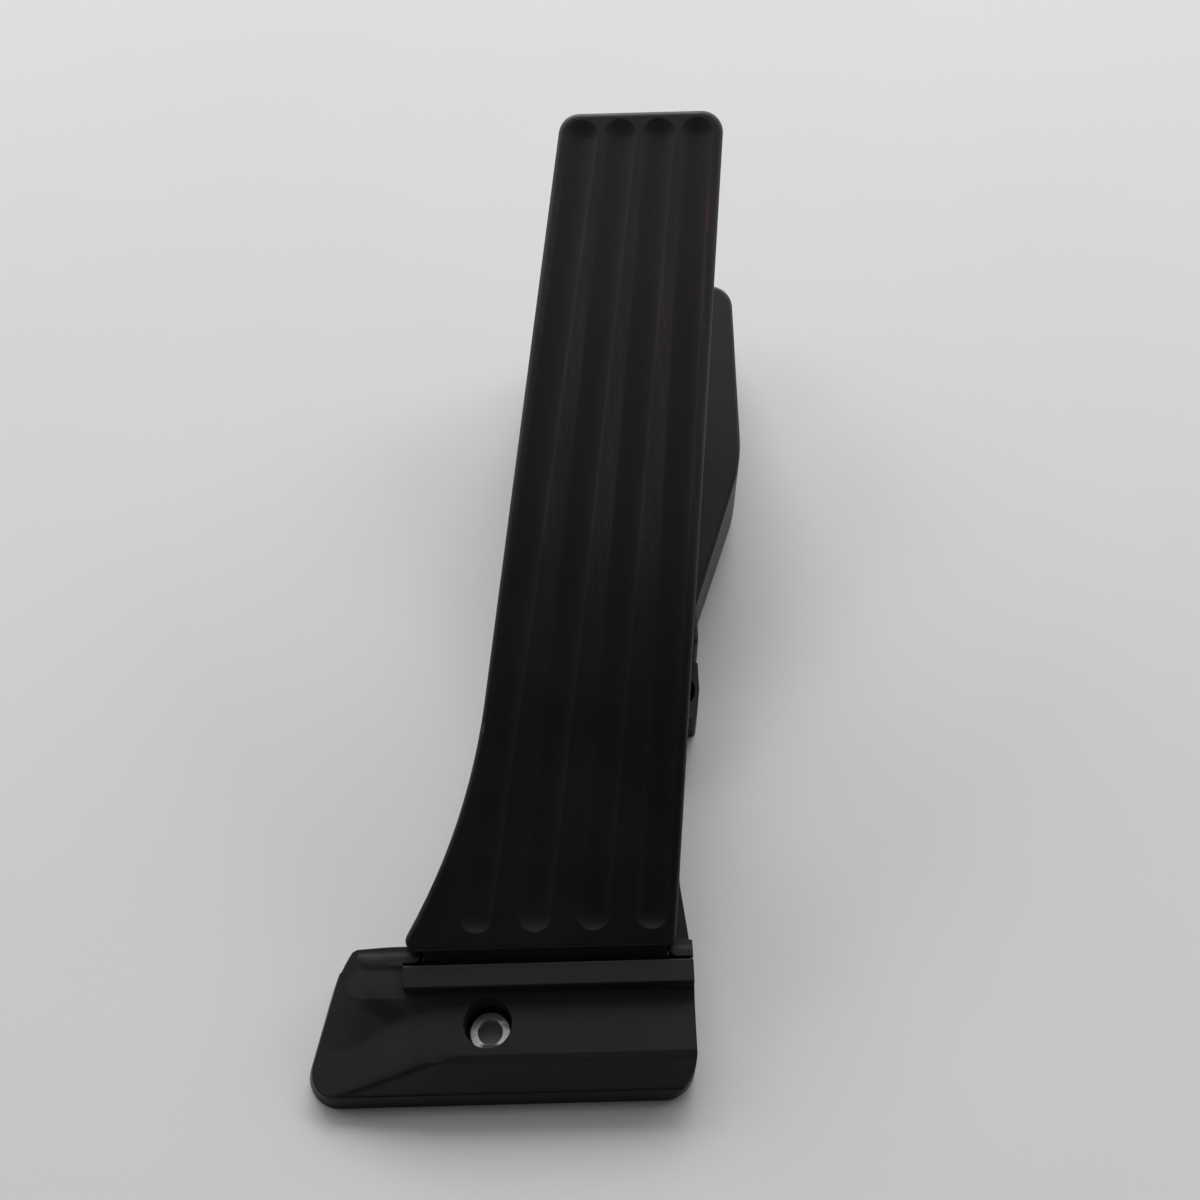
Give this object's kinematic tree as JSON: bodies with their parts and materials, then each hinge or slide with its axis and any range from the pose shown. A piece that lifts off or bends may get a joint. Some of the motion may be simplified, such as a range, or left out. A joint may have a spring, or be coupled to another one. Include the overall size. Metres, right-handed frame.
{
  "type": "accelerator pedal",
  "caption": "Floor-hinged car accelerator pedal: long grooved pad that flares at its lower left, foot plate with a collared fixing hole, and a lever, springs and sensor housing behind the pad.",
  "frame": {"origin": "axis of the lower fixing hole on the mounting plane", "axes": "+Z out of the floor towards the driver, +Y up the pedal from its hinge to its top, +X to the driver's right"},
  "size_m": [0.1202, 0.258, 0.121],
  "materials": {
    "pad_plastic": "fine moulded grain, worn and dusty on the ridges",
    "black_plastic": "moulded, glass-filled, matte",
    "cover_plastic": "moulded, bluish dark grey, fine grain",
    "zinc_steel": "bright zinc plated",
    "ground_steel": "ground",
    "spring_steel": "drawn, oiled",
    "bronze": "sintered",
    "lever_plastic": "moulded, glass-filled",
    "roller_plastic": "turned acetal",
    "magnet": "nickel plated",
    "board": "solder resist",
    "chip": "moulded",
    "tin": "tinned",
    "rubber": "matte"
  },
  "bodies": {
    "housing": {"carrier": "black_plastic", "sensor_cover": "cover_plastic", "mount_collars": "zinc_steel", "hinge_pin": "ground_steel", "pin_retainer": "spring_steel", "shaft_bushes": "bronze", "return_spring_left": "spring_steel", "return_spring_right": "spring_steel", "circuit_board": "board", "hall_sensors": "chip", "terminals": "tin", "cover_seal": "rubber", "idle_stop": "rubber", "travel_stop": "rubber"},
    "pedal": {"pedal_pad": "pad_plastic", "hinge_bushes": "lever_plastic"},
    "lever": {"drive_lever": "lever_plastic", "lever_shaft": "ground_steel", "magnet_holder": "lever_plastic", "sensor_magnet": "magnet", "roller_pin": "ground_steel"},
    "roller": {"lever_roller": "roller_plastic"}
  },
  "joints": [
    {"name": "pedal_hinge", "type": "hinge", "parent": "housing", "child": "pedal", "pos_m": [0.015, 0.0168, 0.014], "axis": [-1, 0, 0], "range_deg": [0, 16], "stiffness_Nm_per_rad": 9, "springref_deg": -21.77},
    {"name": "lever_pivot", "type": "hinge", "parent": "housing", "child": "lever", "pos_m": [0.034, 0.11, 0.0135], "axis": [-1, 0, 0], "range_deg": [0, 33.1], "deforming": ["return_spring_left", "return_spring_right"]},
    {"name": "roller_spin", "type": "hinge", "parent": "lever", "child": "roller", "pos_m": [0.034, 0.15898, 0.08518], "axis": [-1, 0, 0], "continuous": true}
  ],
  "couplings": [
    {"joint": "lever_pivot", "follows": "pedal_hinge", "ratio": 2.0671}
  ]
}
